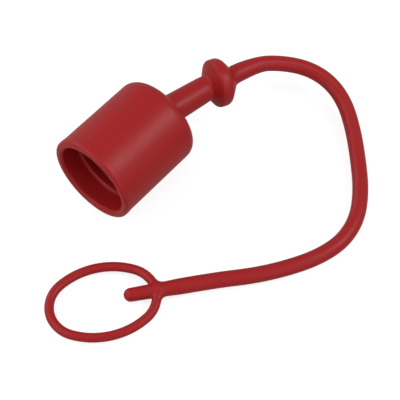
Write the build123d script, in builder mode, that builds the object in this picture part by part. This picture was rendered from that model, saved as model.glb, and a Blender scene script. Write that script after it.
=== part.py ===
from build123d import *
import math
import os

os.makedirs("parts", exist_ok=True)

# A protection cap moulded in soft PVC as one piece: a round cap that screws over a threaded
# end, a neck with a double-cone collar, a round tether and an oval retaining ring.
# Sizes are in mm. The origin is the centre of the cap's mouth. +Y runs into the cap and
# +Z is up. The part lies on its side, on a floor that touches the lip of the mouth.

# Outside of the cap, which tapers a little from its lip to its back to leave the mould
cap_front_radius = 17.2
cap_back_radius = 16.95
cap_length = 38.4
back_corner_radius = 4.4
lip_radius = 17.35
lip_width = 2.2
lip_blend = 1.6
rim_outer_radius = 1.2
rim_inner_chamfer = 0.4

# Inside of the cap: a plain skirt, then the bore on the crests of an M28 x 1.5 thread
skirt_radius = 14.3
skirt_depth = 8.0
thread_crest_radius = 13.19
thread_lead_in = 0.6
bore_depth = 33.5
bore_floor_chamfer = 2.0

# Neck and collar. A heading is the turn from +Y towards +X, then the dip below level.
neck_heading = (10.7, 3.0)
neck_length = 18.9
neck_root_radius = 5.5
neck_tip_radius = 4.8
neck_root_fillet = 1.7
collar_heading = (18.2, -1.4)
collar_radius = 8.8
collar_front_cone = 4.0
collar_land = 3.2
collar_back_cone = 5.1
collar_front_edge_radius = 1.4
collar_back_edge_radius = 2.3
collar_root_fillet = 1.0

# Tether. The route's points run from the collar to the start of the stem.
tether_radius = 2.9
tether_root_radius = 3.55
tether_root_length = 5.0
floor_level = -lip_radius
lying_height = floor_level + tether_radius
tether_route = [
    (10.2, 78.5, -0.7),
    (16.3, 86.0, -2.4),
    (24.1, 92.1, -4.8),
    (33.0, 94.4, -7.6),
    (42.0, 92.4, -10.4),
    (51.2, 86.2, -12.8),
    (60.7, 77.6, lying_height),
    (69.6, 68.1, lying_height),
    (76.0, 58.0, lying_height),
    (78.1, 47.1, lying_height),
    (75.7, 36.3, lying_height),
    (70.3, 25.6, lying_height),
    (63.3, 15.2, lying_height),
    (55.0, 5.7, lying_height),
    (47.5, -4.1, lying_height),
]

# Stem: the tether's end, which thins on its way to the ring and ends as a nub inside it
stem_taper_length = 6.0
stem_nub_length = 15.2
stem_crossing_radius = 2.6
stem_tip_radius = 2.45

# Retaining ring: an oval of two tight arcs and two flat ones, lowest at its far end
ring_wire_radius = 1.7
ring_centre = (30.5, -27.2)
ring_turn = 54.5
ring_half_length = 19.0
ring_half_width = 13.8
ring_tight_radius = 11.8
ring_web_fillet = 1.0

# How far one solid runs on inside the next, so that they fuse into one wall
overlap = 1.6


def direction_of(heading):
    """Unit vector that turns from +Y towards +X and dips below the horizontal."""
    turn, dip = (math.radians(angle) for angle in heading)
    return Vector(math.sin(turn) * math.cos(dip), math.cos(turn) * math.cos(dip), -math.sin(dip))


def profile_plane(origin, direction):
    """Plane of a turned profile: local X is the radius, upwards, and local Y is the axis."""
    side = direction.cross(Vector(0, 0, 1)).normalized()
    return Plane(origin=origin, x_dir=side.cross(direction), z_dir=-side)


def round_corner(profile, corner, corner_radius):
    """Fillet the profile's vertex nearest to a point given in the sketch's own axes."""
    fillet(profile.vertices().sort_by_distance(corner)[0], corner_radius)


def largest_arcs(points):
    """A fillet radius for each corner of a route, as large as its two runs allow."""
    radii = []
    for before, corner, after in zip(points, points[1:], points[2:]):
        half_turn = math.radians((corner - before).get_angle(after - corner)) / 2
        shorter_run = min((corner - before).length, (after - corner).length)
        radii.append(0.45 * shorter_run / math.tan(half_turn))
    return radii


# Where each length begins
neck_direction = direction_of(neck_heading)
neck_base = Vector(0, cap_length, 0)
neck_tip = neck_base + neck_direction * neck_length
collar_direction = direction_of(collar_heading)
collar_length = collar_front_cone + collar_land + collar_back_cone
tether_start = neck_tip + collar_direction * collar_length
route = [tether_start] + [Vector(*point) for point in tether_route]
root_direction = (route[1] - route[0]).normalized()
root_end = route[0] + root_direction * tether_root_length
stem_direction = (route[-1] - route[-2]).normalized()

# Cap shell, turned about the Y axis
with BuildPart() as cap_shell:
    with BuildSketch(Plane.XY) as shell_profile:
        with BuildLine():
            Polyline(
                (0, bore_depth),
                (thread_crest_radius - bore_floor_chamfer, bore_depth),
                (thread_crest_radius, bore_depth - bore_floor_chamfer),
                (thread_crest_radius, skirt_depth + thread_lead_in),
                (thread_crest_radius + thread_lead_in, skirt_depth),
                (skirt_radius, skirt_depth),
                (skirt_radius, rim_inner_chamfer),
                (skirt_radius + rim_inner_chamfer, 0),
                (lip_radius, 0),
                (lip_radius, lip_width),
                (cap_front_radius, lip_width + lip_blend),
                (cap_back_radius, cap_length),
                (0, cap_length),
                close=True,
            )
        make_face()
        round_corner(shell_profile, (cap_back_radius, cap_length), back_corner_radius)
        round_corner(shell_profile, (lip_radius, 0), rim_outer_radius)
    revolve(axis=Axis.Y)

# Neck: a slim cone from the middle of the cap's back, which runs on into the collar
with BuildPart() as neck:
    with BuildSketch(profile_plane(neck_base, neck_direction)):
        with BuildLine():
            Polyline(
                (0, -overlap),
                (neck_root_radius, -overlap),
                (neck_root_radius, 0),
                (neck_tip_radius, neck_length),
                (neck_tip_radius, neck_length + overlap),
                (0, neck_length + overlap),
                close=True,
            )
        make_face()
    revolve(axis=Axis(neck_base, neck_direction))

# Collar: two cones back to back with a narrow land between them. Each cone keeps its
# slope as it runs on inside the neck or the tether.
front_slope = (collar_radius - neck_tip_radius) / collar_front_cone
back_slope = (collar_radius - tether_root_radius) / collar_back_cone
land_start = (collar_radius, collar_front_cone)
land_end = (collar_radius, collar_front_cone + collar_land)
with BuildPart() as collar:
    with BuildSketch(profile_plane(neck_tip, collar_direction)) as collar_profile:
        with BuildLine():
            Polyline(
                (0, -overlap),
                (neck_tip_radius - front_slope * overlap, -overlap),
                land_start,
                land_end,
                (tether_root_radius - back_slope * overlap, collar_length + overlap),
                (0, collar_length + overlap),
                close=True,
            )
        make_face()
        round_corner(collar_profile, land_start, collar_front_edge_radius)
        round_corner(collar_profile, land_end, collar_back_edge_radius)
    revolve(axis=Axis(neck_tip, collar_direction))

# Root of the tether: a short cone that starts inside the collar
root_slope = (tether_root_radius - tether_radius) / tether_root_length
with BuildPart() as tether_root:
    with BuildSketch(profile_plane(tether_start, root_direction)):
        with BuildLine():
            Polyline(
                (0, -overlap),
                (tether_root_radius + root_slope * overlap, -overlap),
                (tether_radius, tether_root_length),
                (0, tether_root_length),
                close=True,
            )
        make_face()
    revolve(axis=Axis(tether_start, root_direction))

# Tether: a round section swept along straight runs and the arcs that join them
arc_radii = largest_arcs(route)
with BuildPart() as tether:
    with BuildLine() as tether_path:
        FilletPolyline(root_end, *route[1:], radius=arc_radii)
    with BuildSketch(Plane(origin=root_end, z_dir=root_direction)):
        Circle(tether_radius)
    sweep(path=tether_path.line)

# Stem: tapers from the tether to the ring, passes through it and ends in a rounded nub
stem_length = stem_taper_length + stem_nub_length
with BuildPart() as stem:
    with BuildSketch(profile_plane(route[-1], stem_direction)) as stem_profile:
        with BuildLine():
            Polyline(
                (0, 0),
                (tether_radius, 0),
                (stem_crossing_radius, stem_taper_length),
                (stem_tip_radius, stem_length),
                (0, stem_length),
                close=True,
            )
        make_face()
        round_corner(stem_profile, (stem_tip_radius, stem_length), 0.9 * stem_tip_radius)
    revolve(axis=Axis(route[-1], stem_direction))

# Ring: its near end is level with the stem, and its far end lies on the floor
near_height = lying_height
far_height = floor_level + ring_wire_radius
ring_slope = math.asin((near_height - far_height) / (2 * ring_half_length))
turn = math.radians(ring_turn)
ring_axis = Vector(
    math.cos(turn) * math.cos(ring_slope),
    math.sin(turn) * math.cos(ring_slope),
    math.sin(ring_slope),
)
ring_side = Vector(-math.sin(turn), math.cos(turn), 0)
ring_plane = Plane(
    origin=(*ring_centre, (near_height + far_height) / 2),
    x_dir=ring_axis,
    z_dir=ring_axis.cross(ring_side),
)
tight_offset = ring_half_length - ring_tight_radius
flat_radius = (tight_offset**2 + ring_half_width**2 - ring_tight_radius**2) / (
    2 * (ring_half_width - ring_tight_radius)
)
flat_offset = flat_radius - ring_half_width
tight_half_angle = math.degrees(math.atan2(flat_offset, tight_offset))
flat_half_angle = 90 - tight_half_angle
with BuildPart() as retaining_ring:
    with BuildLine(ring_plane) as ring_path:
        CenterArc((tight_offset, 0), ring_tight_radius, -tight_half_angle, 2 * tight_half_angle)
        CenterArc((0, -flat_offset), flat_radius, tight_half_angle, 2 * flat_half_angle)
        CenterArc((-tight_offset, 0), ring_tight_radius, 180 - tight_half_angle, 2 * tight_half_angle)
        CenterArc((0, flat_offset), flat_radius, 180 + tight_half_angle, 2 * flat_half_angle)
    path_start = Plane(origin=ring_path.line @ 0, z_dir=ring_path.line % 0)
    with BuildSketch(path_start):
        Circle(ring_wire_radius)
    sweep(path=ring_path.line)

# The finished moulding, fused in order from the cap to the ring
with BuildPart() as protection_cap:
    add(cap_shell.part)
    add(neck.part)
    fillet(protection_cap.edges(Select.NEW), neck_root_fillet)
    add(collar.part)
    fillet(protection_cap.edges(Select.NEW), collar_root_fillet)
    add(tether_root.part)
    fillet(protection_cap.edges(Select.NEW), collar_root_fillet)
    add(tether.part)
    add(stem.part)
    add(retaining_ring.part)
    fillet(protection_cap.edges(Select.NEW), ring_web_fillet)
protection_cap.part.label = "protection_cap"
export_step(protection_cap.part, "parts/protection_cap.step")

tether_length = tether_path.wires()[0].length
tether_ideal = math.pi * tether_radius**2 * tether_length
print("tether length", round(tether_length, 1), "volume", round(tether.part.volume, 1))
print("tether section x length", round(tether_ideal, 1))
print("tether arc radii", [round(arc_radius, 1) for arc_radius in arc_radii])
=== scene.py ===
import bmesh
import bpy
import math
import numpy as np
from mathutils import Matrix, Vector


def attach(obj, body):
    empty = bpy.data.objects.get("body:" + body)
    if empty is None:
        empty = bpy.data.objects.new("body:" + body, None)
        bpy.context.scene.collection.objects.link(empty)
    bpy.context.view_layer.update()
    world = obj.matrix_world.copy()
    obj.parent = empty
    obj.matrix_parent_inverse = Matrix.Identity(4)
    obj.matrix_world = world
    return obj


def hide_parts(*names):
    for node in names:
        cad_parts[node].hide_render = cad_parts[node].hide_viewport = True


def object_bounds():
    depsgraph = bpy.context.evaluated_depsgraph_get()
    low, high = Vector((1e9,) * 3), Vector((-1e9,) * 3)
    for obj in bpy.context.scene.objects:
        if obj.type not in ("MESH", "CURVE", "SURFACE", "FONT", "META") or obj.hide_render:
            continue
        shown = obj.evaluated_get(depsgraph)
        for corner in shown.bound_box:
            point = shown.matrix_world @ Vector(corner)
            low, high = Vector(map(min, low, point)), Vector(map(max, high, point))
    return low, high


# Threaded protection cap in soft red PVC: cap, neck, collar, tether and retaining ring.
# Lengths in the settings are millimetres, angles are degrees, and the meshes are in metres.

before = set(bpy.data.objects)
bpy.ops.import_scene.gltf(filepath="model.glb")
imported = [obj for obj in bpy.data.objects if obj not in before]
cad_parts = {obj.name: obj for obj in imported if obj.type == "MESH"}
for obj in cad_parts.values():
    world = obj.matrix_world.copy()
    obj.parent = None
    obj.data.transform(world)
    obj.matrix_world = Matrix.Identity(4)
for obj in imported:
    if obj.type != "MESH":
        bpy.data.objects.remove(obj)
cadLow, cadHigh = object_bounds()
bodyName = "root"
nodeName = "protection_cap"
mm = 0.001
floorHeight = cadLow[2] / mm


# Shared helpers

def smoothStep(low, high, value):
    t = np.clip((value - low) / (high - low), 0.0, 1.0)
    return t * t * (3 - 2 * t)


def headingVector(turn, dip):
    turn = math.radians(turn)  # from +Y towards +X
    dip = math.radians(dip)  # below level
    level = math.cos(dip)
    return np.array([math.sin(turn) * level, math.cos(turn) * level, -math.sin(dip)])


def unit(vector):
    return vector / np.linalg.norm(vector)


def roundAngles(count):
    return np.arange(count) * 2 * math.pi / count


def meshFromGrid(name, rings, capStart=False, capEnd=False):
    # rings: array of ring x corner x 3, in millimetres, joined into a tube of quads
    ringCount, cornerCount = rings.shape[:2]
    verts = rings.reshape(-1, 3)
    faces = []
    for i in range(ringCount - 1):
        for j in range(cornerCount):
            k = (j + 1) % cornerCount
            a = i * cornerCount
            b = a + cornerCount
            faces.append((a + j, a + k, b + k, b + j))
    poles = []
    if capStart:
        poles.append((0, rings[0].mean(axis=0), True))
    if capEnd:
        poles.append(((ringCount - 1) * cornerCount, rings[-1].mean(axis=0), False))
    for first, middle, turned in poles:
        pole = len(verts)
        verts = np.vstack([verts, middle])
        for j in range(cornerCount):
            k = (j + 1) % cornerCount
            corners = (first + k, first + j, pole) if turned else (first + j, first + k, pole)
            faces.append(corners)
    mesh = bpy.data.meshes.new(name)
    mesh.from_pydata((verts * mm).tolist(), [], faces)
    mesh.validate()
    return mesh


def placePiece(name, mesh, material):
    for polygon in mesh.polygons:
        polygon.use_smooth = True
    mesh.materials.append(material)
    piece = bpy.data.objects.new(name, mesh)
    bpy.context.scene.collection.objects.link(piece)
    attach(piece, bodyName)
    return piece


def roundedProfile(corners, steps=10):
    # corners: (along, radius, fillet). Each fillet becomes an arc between its two straights.
    points = []
    for i, (along, radius, fillet) in enumerate(corners):
        here = np.array([along, radius], float)
        if fillet == 0 or i in (0, len(corners) - 1):
            points.append(here)
            continue
        before = unit(np.array(corners[i - 1][:2], float) - here)
        after = unit(np.array(corners[i + 1][:2], float) - here)
        halfAngle = math.acos(np.clip(before @ after, -1, 1)) / 2
        centre = here + unit(before + after) * fillet / math.sin(halfAngle)
        start = here + before * fillet / math.tan(halfAngle) - centre
        end = here + after * fillet / math.tan(halfAngle) - centre
        sweep = math.acos(np.clip(unit(start) @ unit(end), -1, 1))
        for t in np.linspace(0, 1, steps + 1):
            spoke = (math.sin((1 - t) * sweep) * start + math.sin(t * sweep) * end) / math.sin(sweep)
            points.append(centre + spoke)
    return np.array(points)


def subdivided(points, longest=0.8):
    # more points on long straights, so that the shading and the bends stay even
    out = [points[0]]
    for a, b in zip(points, points[1:]):
        count = max(1, math.ceil(np.linalg.norm(b - a) / longest))
        for i in range(1, count + 1):
            out.append(a + (b - a) * i / count)
    return np.array(out)


# Camera

cameraSettings = {
    "place": (264.7, -241.6, 550.9),
    "target": (32.9, 21.4, -3.6),
    "lens": 166.5,
    "sensor": 36.0,
    "clip": (0.01, 20),  # metres
}


def makeCamera(s):
    data = bpy.data.cameras.new("camera")
    data.lens = s["lens"]
    data.sensor_width = s["sensor"]
    data.clip_start, data.clip_end = s["clip"]
    camera = bpy.data.objects.new("camera", data)
    camera.location = Vector(s["place"]) * mm
    look = (Vector(s["target"]) - Vector(s["place"])).normalized()
    camera.rotation_euler = look.to_track_quat("-Z", "Y").to_euler()
    bpy.context.scene.collection.objects.link(camera)
    bpy.context.scene.camera = camera
    print("camera placed")


makeCamera(cameraSettings)


# The line that runs from the mouth of the cap to the ring. Cap, neck, collar and tether are
# made of circles round it.

tetherSettings = {
    "radius": 2.9,
    "rootRadius": 3.55,
    "rootTaper": 15.0,
    "corners": 56,
    "spacing": 0.8,
}

lyingHeight = floorHeight + tetherSettings["radius"]  # the tether's middle on the floor
tetherRoute = [
    (7.3, 68.6, -0.7),
    (10.2, 78.5, -0.7),
    (16.3, 86.0, -2.4),
    (24.1, 92.1, -4.8),
    (33.0, 94.4, -7.6),
    (42.0, 92.4, -10.4),
    (51.2, 86.2, -12.8),
    (60.7, 77.6, lyingHeight),
    (69.6, 68.1, lyingHeight),
    (76.0, 58.0, lyingHeight),
    (78.1, 47.1, lyingHeight),
    (75.7, 36.3, lyingHeight),
    (70.3, 25.6, lyingHeight),
    (63.3, 15.2, lyingHeight),
    (55.0, 5.7, lyingHeight),
    (47.5, -4.1, lyingHeight),
]


def tetherRadius(fromCollar, s):
    rootShare = 1 - smoothStep(0, s["rootTaper"], fromCollar)
    return s["radius"] + (s["rootRadius"] - s["radius"]) * rootShare


# A heading is the turn from +Y towards +X, then the dip below level. Each bend, turn and hold
# is given by where it starts and ends along the line.
spineSettings = {
    "capLength": 38.4,
    "neckHeading": (10.7, 3.0),
    "neckLength": 18.9,
    "neckBend": (38.4, 39.9),
    "throughHeading": (18.2, -1.4),  # of the line on its way through the collar
    "throughLength": 12.3,
    "throughBend": (54.8, 58.8),
    "collarHeading": (22.0, 8.0),  # of the collar itself
    "collarTurn": (55.4, 58.4),
    "collarHold": (57.6, 61.5),
    "collarEnd": (68.2, 70.4),
    "tetherBend": (67.0, 69.6),
    "step": 0.1,
}
headEnd = spineSettings["capLength"] + spineSettings["neckLength"] + spineSettings["throughLength"]


def routeCurve(route):
    # the tether's own line: a smooth spline with the route's points as its control points
    curve = bpy.data.curves.new("tether_line", "CURVE")
    curve.dimensions = "3D"
    curve.resolution_u = 24
    spline = curve.splines.new("NURBS")
    spline.points.add(len(route) - 1)
    for point, place in zip(spline.points, route):
        point.co = (*(Vector(place) * mm), 1)
    spline.order_u = 3
    spline.use_endpoint_u = True
    line = bpy.data.objects.new("tether_line", curve)
    mesh = bpy.data.meshes.new_from_object(line)
    points = np.array([v.co[:] for v in mesh.vertices]) / mm
    bpy.data.objects.remove(line)
    bpy.data.meshes.remove(mesh)
    return points


def makeSpine(s):
    # points from the mouth through neck and collar, each a short step from the last
    firstRun = unit(np.array(tetherRoute[1]) - np.array(tetherRoute[0]))
    places = np.linspace(0, headEnd, round(headEnd / s["step"]) + 1)
    middles = (places[1:] + places[:-1]) / 2
    steps = np.array([[0.0, 1.0, 0.0]])
    bends = [
        (s["neckBend"], headingVector(*s["neckHeading"])),
        (s["throughBend"], headingVector(*s["throughHeading"])),
        (s["tetherBend"], firstRun),
    ]
    for span, heading in bends:
        bent = smoothStep(*span, middles)[:, None]
        steps = steps * (1 - bent) + heading * bent
    steps /= np.linalg.norm(steps, axis=1)[:, None]
    return np.vstack([[0, 0, 0], np.cumsum(steps * np.diff(places)[:, None], axis=0)])


headSpine = makeSpine(spineSettings)
tetherLine = routeCurve([tuple(headSpine[-1])] + tetherRoute[1:])
spine = np.vstack([headSpine, tetherLine[1:]])
spineAlong = np.concatenate([[0], np.cumsum(np.linalg.norm(np.diff(spine, axis=0), axis=1))])
spineDirection = np.gradient(spine, spineAlong, axis=0)
spineDirection /= np.linalg.norm(spineDirection, axis=1)[:, None]


def alongSpine(places, values):
    # points or directions of the line at any places along it
    return np.stack([np.interp(places, spineAlong, values[:, i]) for i in range(3)], axis=-1)


def tiltCollar(s):
    # the collar sits askew on the line: its rings turn, and then centre on an axis of their own
    middleAlong = headEnd - s["throughLength"] / 2
    middle = alongSpine(middleAlong, spine)
    axis = headingVector(*s["collarHeading"])
    freed = 1 - smoothStep(*s["collarEnd"], spineAlong)
    turned = (smoothStep(*s["collarTurn"], spineAlong) * freed)[:, None]
    held = (smoothStep(*s["collarHold"], spineAlong) * freed)[:, None]
    onAxis = middle + (spineAlong[:, None] - middleAlong) * axis
    directions = spineDirection * (1 - turned) + axis * turned
    directions /= np.linalg.norm(directions, axis=1)[:, None]
    return spine * (1 - held) + onAxis * held, directions


spine, spineDirection = tiltCollar(spineSettings)
print("line made,", round(spineAlong[-1] - headEnd), "mm of tether")


def ringsAlong(along, radii, corners):
    # circles round the line, square to it, one for each place along it
    centres = alongSpine(along, spine)
    forward = alongSpine(along, spineDirection)
    forward /= np.linalg.norm(forward, axis=1)[:, None]
    upward = np.array([0.0, 0.0, 1.0]) - forward * forward[:, 2:]
    upward /= np.linalg.norm(upward, axis=1)[:, None]
    sideward = np.cross(forward, upward)
    angles = roundAngles(corners)[None, :, None]
    spokes = np.cos(angles) * upward[:, None] + np.sin(angles) * sideward[:, None]
    radii = np.asarray(radii, float).reshape(len(along), -1)  # a column for all corners, or for each
    return centres[:, None] + spokes * radii[:, :, None]


# Soft PVC

pvcSettings = {
    "colour": (0.36, 0.0085, 0.0095, 1),
    "deepColour": (0.335, 0.007, 0.009, 1),
    "roughness": (0.40, 0.48),
    "specular": 0.27,
    "ior": 1.52,
    "bloomScale": 90.0,
    "bloomDetail": 3,
    "grainScale": 1400.0,
    "grainDetail": 2,
    "grainHeight": 0.02,
    "grainStrength": 0.5,
}


def makePvc(name, s):
    material = bpy.data.materials.new(name)
    material.use_nodes = True
    nodes = material.node_tree.nodes
    links = material.node_tree.links
    shader = nodes["Principled BSDF"]
    shader.inputs["Specular IOR Level"].default_value = s["specular"]
    shader.inputs["IOR"].default_value = s["ior"]
    place = nodes.new("ShaderNodeTexCoord")
    bloom = nodes.new("ShaderNodeTexNoise")  # slow unevenness of the moulded colour
    bloom.inputs["Scale"].default_value = s["bloomScale"]
    bloom.inputs["Detail"].default_value = s["bloomDetail"]
    links.new(place.outputs["Object"], bloom.inputs["Vector"])
    colour = nodes.new("ShaderNodeMix")
    colour.data_type = "RGBA"
    colour.inputs["A"].default_value = s["colour"]
    colour.inputs["B"].default_value = s["deepColour"]
    links.new(bloom.outputs["Fac"], colour.inputs["Factor"])
    links.new(colour.outputs["Result"], shader.inputs["Base Color"])
    gloss = nodes.new("ShaderNodeMapRange")
    gloss.inputs["To Min"].default_value = s["roughness"][0]
    gloss.inputs["To Max"].default_value = s["roughness"][1]
    links.new(bloom.outputs["Fac"], gloss.inputs["Value"])
    links.new(gloss.outputs["Result"], shader.inputs["Roughness"])
    grain = nodes.new("ShaderNodeTexNoise")  # the fine skin that the mould leaves
    grain.inputs["Scale"].default_value = s["grainScale"]
    grain.inputs["Detail"].default_value = s["grainDetail"]
    links.new(place.outputs["Object"], grain.inputs["Vector"])
    bump = nodes.new("ShaderNodeBump")
    bump.inputs["Distance"].default_value = s["grainHeight"] * mm
    bump.inputs["Strength"].default_value = s["grainStrength"]
    links.new(grain.outputs["Fac"], bump.inputs["Height"])
    links.new(bump.outputs["Normal"], shader.inputs["Normal"])
    print("material", name)
    return material


softPvc = makePvc("soft_red_pvc", pvcSettings)


# Cap, neck and collar. Places are measured along the line from the mouth, and a rounding is
# the radius of its arc.
capSettings = {
    "lipRadius": 17.35,
    "lipEnd": 2.3,
    "lipRounding": 1.2,
    "mouthRounding": 1.3,
    "blendEnd": 4.0,  # where the lip has run into the wall
    "blendRounding": 3.0,
    "frontRadius": 17.2,
    "backRadius": 16.95,
    "backRounding": 4.4,
    "skirtRadius": 14.3,
    "skirtDepth": 8.0,
    "skirtRounding": 0.25,
    "leadIn": 0.6,  # the slope in front of the thread
    "leadInLift": 0.05,
    "leadInRounding": 0.15,
    "boreDepth": 33.5,
    "boreRounding": 3.0,
    "boreMiddle": 0.2,  # radius of the innermost ring of the bore's floor
    "thread": {
        "crestRadius": 13.19,
        "pitch": 1.5,
        "height": 0.5,
        "start": 8.8,
        "runIn": 6.5,
        "end": 24.0,
        "runOut": 1.5,
        "crestShare": 0.25,  # of the pitch
        "flankAngle": 30.0,
        "flankRounding": 0.05,
        "rowsPerTurn": 16,
        "margin": 0.1,  # from its rows to the smooth wall on both sides
    },
    "neck": {
        "rootRadius": 5.5,
        "rootRounding": 3.2,
        "tipRadius": 4.8,
        "tipPlace": 58.7,
        "tipRounding": 1.3,
    },
    "collar": {
        "radius": 9.05,
        "landStart": 61.5,
        "frontRounding": 1.4,
        "landEnd": 65.2,
        "backRounding": 2.8,
        "end": 69.3,
        "endRounding": 1.1,
    },
    "rootLength": 4.0,  # how much of the tether belongs to this piece
    "corners": 160,
}


def threadRadius(along, angle, s):
    # right-hand internal thread: flat crests and roots, with sloping flanks between them
    phase = (along[:, None] - angle[None, :] * s["pitch"] / (2 * math.pi)) / s["pitch"]
    fromCrest = np.abs((phase + 0.5) % 1.0 - 0.5) * s["pitch"]
    crestEdge = s["pitch"] * s["crestShare"] / 2 - s["flankRounding"]
    flankWidth = s["height"] * math.tan(math.radians(s["flankAngle"])) + 2 * s["flankRounding"]
    depth = s["height"] * smoothStep(crestEdge, crestEdge + flankWidth, fromCrest)
    runIn = smoothStep(s["start"], s["start"] + s["runIn"], along)
    runOut = 1 - smoothStep(s["end"] - s["runOut"], s["end"], along)
    return s["crestRadius"] + depth * (runIn * runOut)[:, None]


def boreProfile(s):
    # from the middle of the bore's floor to the thread
    thread = s["thread"]
    return roundedProfile([
        (s["boreDepth"], s["boreMiddle"], 0),
        (s["boreDepth"], thread["crestRadius"], s["boreRounding"]),
        (thread["end"] + thread["margin"], thread["crestRadius"], 0),
    ])


def outsideProfile(s, tether):
    # from the thread out over the skirt and the lip, then back along the outside to the tether
    thread = s["thread"]
    neck = s["neck"]
    collar = s["collar"]
    threadFront = s["skirtDepth"] + s["leadIn"] - thread["margin"]
    back = spineSettings["capLength"]
    rootEnd = headEnd + s["rootLength"]
    return roundedProfile([
        (threadFront, thread["crestRadius"] + s["leadInLift"], 0),
        (s["skirtDepth"], thread["crestRadius"] + s["leadIn"], s["leadInRounding"]),
        (s["skirtDepth"], s["skirtRadius"], s["skirtRounding"]),
        (0.0, s["skirtRadius"], s["mouthRounding"]),
        (0.0, s["lipRadius"], s["lipRounding"]),
        (s["lipEnd"], s["lipRadius"], s["blendRounding"]),
        (s["blendEnd"], s["frontRadius"], s["blendRounding"]),
        (back, s["backRadius"], s["backRounding"]),
        (back, neck["rootRadius"], neck["rootRounding"]),
        (neck["tipPlace"], neck["tipRadius"], neck["tipRounding"]),
        (collar["landStart"], collar["radius"], collar["frontRounding"]),
        (collar["landEnd"], collar["radius"], collar["backRounding"]),
        (collar["end"], tether["rootRadius"], collar["endRounding"]),
        (rootEnd, tetherRadius(s["rootLength"], tether), 0),
    ])


def makeHead(s, tether):
    corners = s["corners"]
    thread = s["thread"]
    threadFirst = s["skirtDepth"] + s["leadIn"]
    rows = round((thread["end"] - threadFirst) / thread["pitch"] * thread["rowsPerTurn"])
    threadRows = np.linspace(thread["end"], threadFirst, rows)
    borePart = subdivided(boreProfile(s))
    outsidePart = subdivided(outsideProfile(s, tether))
    along = np.concatenate([borePart[:, 0], threadRows, outsidePart[:, 0]])
    radii = np.vstack([
        np.repeat(borePart[:, 1:], corners, axis=1),
        threadRadius(threadRows, roundAngles(corners), thread),
        np.repeat(outsidePart[:, 1:], corners, axis=1),
    ])
    mesh = meshFromGrid("cap_head", ringsAlong(along, radii, corners), capStart=True)
    head = placePiece("cap_head", mesh, softPvc)
    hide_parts(nodeName)
    print("cap head made,", len(mesh.polygons), "faces")


makeHead(capSettings, tetherSettings)


# Tether

def makeTether(s, headRoot):
    start = headEnd + headRoot
    end = spineAlong[-1]
    along = np.linspace(start, end, round((end - start) / s["spacing"]))
    rings = ringsAlong(along, tetherRadius(along - headEnd, s), s["corners"])
    mesh = meshFromGrid("tether", rings)
    tether = placePiece("tether", mesh, softPvc)
    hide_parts(nodeName)
    path = rings.mean(axis=1) * mm
    print("tether made,", len(mesh.polygons), "faces")
    return tether, path


tether, tetherPath = makeTether(tetherSettings, capSettings["rootLength"])


# Retaining ring, with the stem that runs through it

ringSettings = {
    "centre": (30.5, -27.2),
    "turn": 54.5,
    "halfLength": 19.0,
    "halfWidth": 13.8,
    "tightRadius": 11.8,
    "wireRadius": 1.7,
    "stemRadius": (2.9, 2.6, 2.45),  # at its start, near the wire and at its tip
    "stemTaper": (0.0, 9.0, 21.2),  # the places of these three
    "stemInTether": 2.0,
    "stemRows": 40,
    "nubArc": (0.1, 1.5),  # radians
    "nubRows": 10,
    "crossing": 9.9,  # where the stem meets the wire
    "crossingBlend": 1.5,
    "webOutside": 2.4,  # how far wire and stem run into each other
    "webInside": 0.9,
    "spacing": 0.8,
    "corners": 32,
    "voxel": 0.32,
    "pulls": 6,  # steps that bring the skin onto the blended surface
    "probe": 0.01,  # how far to each side the slope is measured
    "leastSteepness": 0.2,  # keeps a step short where the slope is flat
}


def ringFrame(s):
    # the ring's plane: its near end level with the tether, its far end on the floor
    near = lyingHeight
    far = floorHeight + s["wireRadius"]
    slope = math.asin((near - far) / (2 * s["halfLength"]))
    lengthwise = headingVector(90 - s["turn"], -math.degrees(slope))
    widthwise = unit(np.cross([0.0, 0.0, 1.0], lengthwise))
    middle = np.array([*s["centre"], (near + far) / 2])
    return middle, lengthwise, widthwise, np.cross(lengthwise, widthwise)


def ovalNumbers(s):
    # an oval of two tight and two flat arcs: where their centres lie, and the flat radius
    tightOffset = s["halfLength"] - s["tightRadius"]
    spread = s["halfWidth"] - s["tightRadius"]
    flatRadius = (tightOffset ** 2 + s["halfWidth"] ** 2 - s["tightRadius"] ** 2) / (2 * spread)
    return tightOffset, flatRadius - s["halfWidth"], flatRadius


def ovalPoints(s):
    tightOffset, flatOffset, flatRadius = ovalNumbers(s)
    joint = math.atan2(flatOffset, tightOffset)
    points = []
    arcs = [
        (tightOffset, 0.0, s["tightRadius"], -joint, joint),
        (0.0, -flatOffset, flatRadius, joint, math.pi - joint),
        (-tightOffset, 0.0, s["tightRadius"], math.pi - joint, math.pi + joint),
        (0.0, flatOffset, flatRadius, math.pi + joint, 2 * math.pi - joint),
    ]
    for x, y, radius, first, last in arcs:
        count = round(radius * (last - first) / s["spacing"])
        for angle in np.linspace(first, last, count, endpoint=False):
            points.append((x + radius * math.cos(angle), y + radius * math.sin(angle)))
    return np.array(points)


stemStart = spine[-1]
stemForward = unit(spine[-1] - spine[-2])


def stemRadius(along, s):
    start, middle, tip = s["stemRadius"]
    a, b, c = s["stemTaper"]
    return start + (middle - start) * smoothStep(a, b, along) + (tip - middle) * smoothStep(b, c, along)


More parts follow.
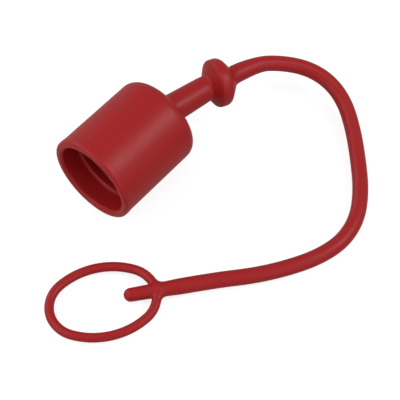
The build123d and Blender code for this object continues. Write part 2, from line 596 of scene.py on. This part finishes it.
def ringDistance(points, s):
    # distance from the ring's wire and the stem, blended where they meet
    middle, lengthwise, widthwise, upward = ringFrame(s)
    tightOffset, flatOffset, flatRadius = ovalNumbers(s)
    local = points - middle
    u = np.abs(local @ lengthwise)
    v = np.abs(local @ widthwise)
    inTight = v * tightOffset <= (u - tightOffset) * flatOffset
    tight = np.hypot(u - tightOffset, v) - s["tightRadius"]
    flat = np.hypot(u, v + flatOffset) - flatRadius
    offset = np.where(inTight, tight, flat)
    wire = np.hypot(offset, local @ upward) - s["wireRadius"]
    along = (points - stemStart) @ stemForward
    held = np.clip(along, None, s["stemTaper"][2] - s["stemRadius"][2])
    onStem = stemStart + held[:, None] * stemForward
    stem = np.linalg.norm(points - onStem, axis=1) - stemRadius(held, s)
    inside = smoothStep(s["crossing"] - s["crossingBlend"], s["crossing"] + s["crossingBlend"], along)
    web = s["webOutside"] * (1 - inside) + s["webInside"] * inside
    overlap = np.clip(web - np.abs(wire - stem), 0, None) / web
    return np.minimum(wire, stem) - overlap ** 2 * web / 4


def wireTube(s):
    middle, lengthwise, widthwise, upward = ringFrame(s)
    oval = ovalPoints(s)
    line = middle + oval[:, :1] * lengthwise + oval[:, 1:] * widthwise
    forward = np.roll(line, -1, axis=0) - np.roll(line, 1, axis=0)
    forward /= np.linalg.norm(forward, axis=1)[:, None]
    outward = np.cross(forward, upward)
    angles = roundAngles(s["corners"])[None, :, None]
    spokes = np.cos(angles) * outward[:, None] + np.sin(angles) * upward
    wire = line[:, None] + spokes * s["wireRadius"]
    return meshFromGrid("wire", np.concatenate([wire, wire[:1]]))


def stemTube(s):
    # starts a little inside the tether, and ends as a round nub inside the ring
    tipRadius = s["stemRadius"][2]
    nubStart = s["stemTaper"][2] - tipRadius
    shaft = np.linspace(-s["stemInTether"], nubStart, s["stemRows"])
    nub = nubStart + tipRadius * np.sin(np.linspace(*s["nubArc"], s["nubRows"]))
    along = np.concatenate([shaft, nub])
    beyond = np.clip(along - nubStart, 0, None)
    radii = np.sqrt(stemRadius(along, s) ** 2 - beyond ** 2)
    sideward = unit(np.cross(stemForward, [0, 0, 1]))
    above = np.cross(sideward, stemForward)
    angles = roundAngles(s["corners"])[:, None]
    spokes = np.cos(angles) * sideward + np.sin(angles) * above
    stem = stemStart + along[:, None, None] * stemForward + radii[:, None, None] * spokes
    return meshFromGrid("stem", stem, capStart=True, capEnd=True)


def joinedSkin(tubes, voxel):
    # the tubes become one closed skin of even quads
    bm = bmesh.new()
    for tube in tubes:
        bm.from_mesh(tube)
    bmesh.ops.remove_doubles(bm, verts=bm.verts, dist=1e-6)
    bmesh.ops.recalc_face_normals(bm, faces=bm.faces)
    mesh = bpy.data.meshes.new("retaining_ring")
    bm.to_mesh(mesh)
    bm.free()
    piece = bpy.data.objects.new("ring_skin", mesh)
    bpy.context.scene.collection.objects.link(piece)
    remesh = piece.modifiers.new("skin", "REMESH")
    remesh.mode = "VOXEL"
    remesh.voxel_size = voxel * mm
    skin = bpy.data.meshes.new_from_object(piece.evaluated_get(bpy.context.evaluated_depsgraph_get()))
    bpy.data.objects.remove(piece)
    return skin


def pullToSurface(skin, s):
    # each point moves down the slope of the distance until it lies on the blended surface
    points = np.zeros(len(skin.vertices) * 3)
    skin.vertices.foreach_get("co", points)
    points = points.reshape(-1, 3) / mm
    probes = s["probe"] * np.eye(3)
    for _ in range(s["pulls"]):
        distance = ringDistance(points, s)
        rises = [ringDistance(points + probe, s) - ringDistance(points - probe, s) for probe in probes]
        slope = np.stack(rises, axis=1) / (2 * s["probe"])
        steepness = np.clip((slope ** 2).sum(axis=1), s["leastSteepness"], None)
        points -= slope * (distance / steepness)[:, None]
    skin.vertices.foreach_set("co", (points * mm).ravel())


def cutFlat(skin, place, direction):
    # keeps what lies beyond the place, where the tether's own tube ends
    bm = bmesh.new()
    bm.from_mesh(skin)
    bmesh.ops.bisect_plane(
        bm,
        geom=bm.verts[:] + bm.edges[:] + bm.faces[:],
        plane_co=Vector(place) * mm,
        plane_no=Vector(direction),
        clear_inner=True,
    )
    bm.to_mesh(skin)
    bm.free()


def makeRingEnd(s):
    skin = joinedSkin([wireTube(s), stemTube(s)], s["voxel"])
    pullToSurface(skin, s)
    cutFlat(skin, stemStart, stemForward)
    ringEnd = placePiece("retaining_ring", skin, softPvc)
    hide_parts(nodeName)
    print("retaining ring made,", len(skin.polygons), "faces")
    return ringEnd


ringEnd = makeRingEnd(ringSettings)

tetherLength = np.linalg.norm(np.diff(tetherPath, axis=0), axis=1).sum()
print("tether length", round(tetherLength, 4))


# Floor, backdrop and light. The floor's size and the lamps' sizes and distances are metres,
# and a lamp's power is watts.
stageSettings = {
    "floorSize": 6.0,
    "floorColour": (0.36, 0.36, 0.36, 1),
    "floorGlow": 0.78,
    "floorSheen": 0.2,
    "worldLight": 0.48,
    "lights": {
        "key": {"direction": (0.54, 0.40, 0.74), "distance": 0.9, "size": 0.32, "power": 2.5},
        "side": {"direction": (-0.42, -0.38, 0.82), "distance": 0.9, "size": 0.22, "power": 1.1},
        "front": {"direction": (-0.25, -0.88, 0.40), "distance": 0.9, "size": 0.8, "power": 2.0},
        "right": {"direction": (0.90, -0.15, 0.40), "distance": 0.9, "size": 0.6, "power": 1.0},
        "left": {"direction": (-0.90, -0.05, 0.40), "distance": 0.9, "size": 0.35, "power": 1.3},
    },
}


def makeFloor(s):
    bpy.ops.mesh.primitive_plane_add(size=s["floorSize"], location=(0, 0, floorHeight * mm))
    floor = bpy.context.object
    floor.name = "floor"
    material = bpy.data.materials.new("pale_floor")
    material.use_nodes = True
    nodes = material.node_tree.nodes
    links = material.node_tree.links
    nodes.clear()
    paper = nodes.new("ShaderNodeBsdfDiffuse")
    paper.inputs["Color"].default_value = s["floorColour"]
    glow = nodes.new("ShaderNodeEmission")
    seen = nodes.new("ShaderNodeLightPath")
    sheen = nodes.new("ShaderNodeMath")
    sheen.operation = "MULTIPLY"
    sheen.inputs[1].default_value = s["floorSheen"]
    links.new(seen.outputs["Is Glossy Ray"], sheen.inputs[0])
    level = nodes.new("ShaderNodeMath")
    level.operation = "MULTIPLY_ADD"
    level.inputs[1].default_value = s["floorGlow"]
    links.new(seen.outputs["Is Camera Ray"], level.inputs[0])
    links.new(sheen.outputs["Value"], level.inputs[2])
    links.new(level.outputs["Value"], glow.inputs["Strength"])
    both = nodes.new("ShaderNodeAddShader")
    links.new(paper.outputs["BSDF"], both.inputs[0])
    links.new(glow.outputs["Emission"], both.inputs[1])
    out = nodes.new("ShaderNodeOutputMaterial")
    links.new(both.outputs["Shader"], out.inputs["Surface"])
    floor.data.materials.append(material)


def makeWorld(s):
    world = bpy.data.worlds.new("studio")
    world.use_nodes = True
    bpy.context.scene.world = world
    nodes = world.node_tree.nodes
    links = world.node_tree.links
    seen = nodes.new("ShaderNodeLightPath")
    level = nodes.new("ShaderNodeMapRange")
    level.inputs["To Min"].default_value = s["worldLight"]
    level.inputs["To Max"].default_value = 1.0
    links.new(seen.outputs["Is Camera Ray"], level.inputs["Value"])
    links.new(level.outputs["Result"], nodes["Background"].inputs["Strength"])
    nodes["Background"].inputs["Color"].default_value = (1, 1, 1, 1)


def makeLight(name, s):
    data = bpy.data.lights.new(name, "AREA")
    data.shape = "DISK"
    data.size = s["size"]
    data.energy = s["power"]
    light = bpy.data.objects.new(name, data)
    middle = Vector(cameraSettings["target"]) * mm
    direction = Vector(s["direction"]).normalized()
    light.location = middle + direction * s["distance"]
    light.rotation_euler = direction.to_track_quat("Z", "Y").to_euler()
    bpy.context.scene.collection.objects.link(light)


makeFloor(stageSettings)
makeWorld(stageSettings)
for lightName, lightSettings in stageSettings["lights"].items():
    makeLight(lightName, lightSettings)
bpy.context.scene.view_settings.view_transform = "Standard"
print("stage made")
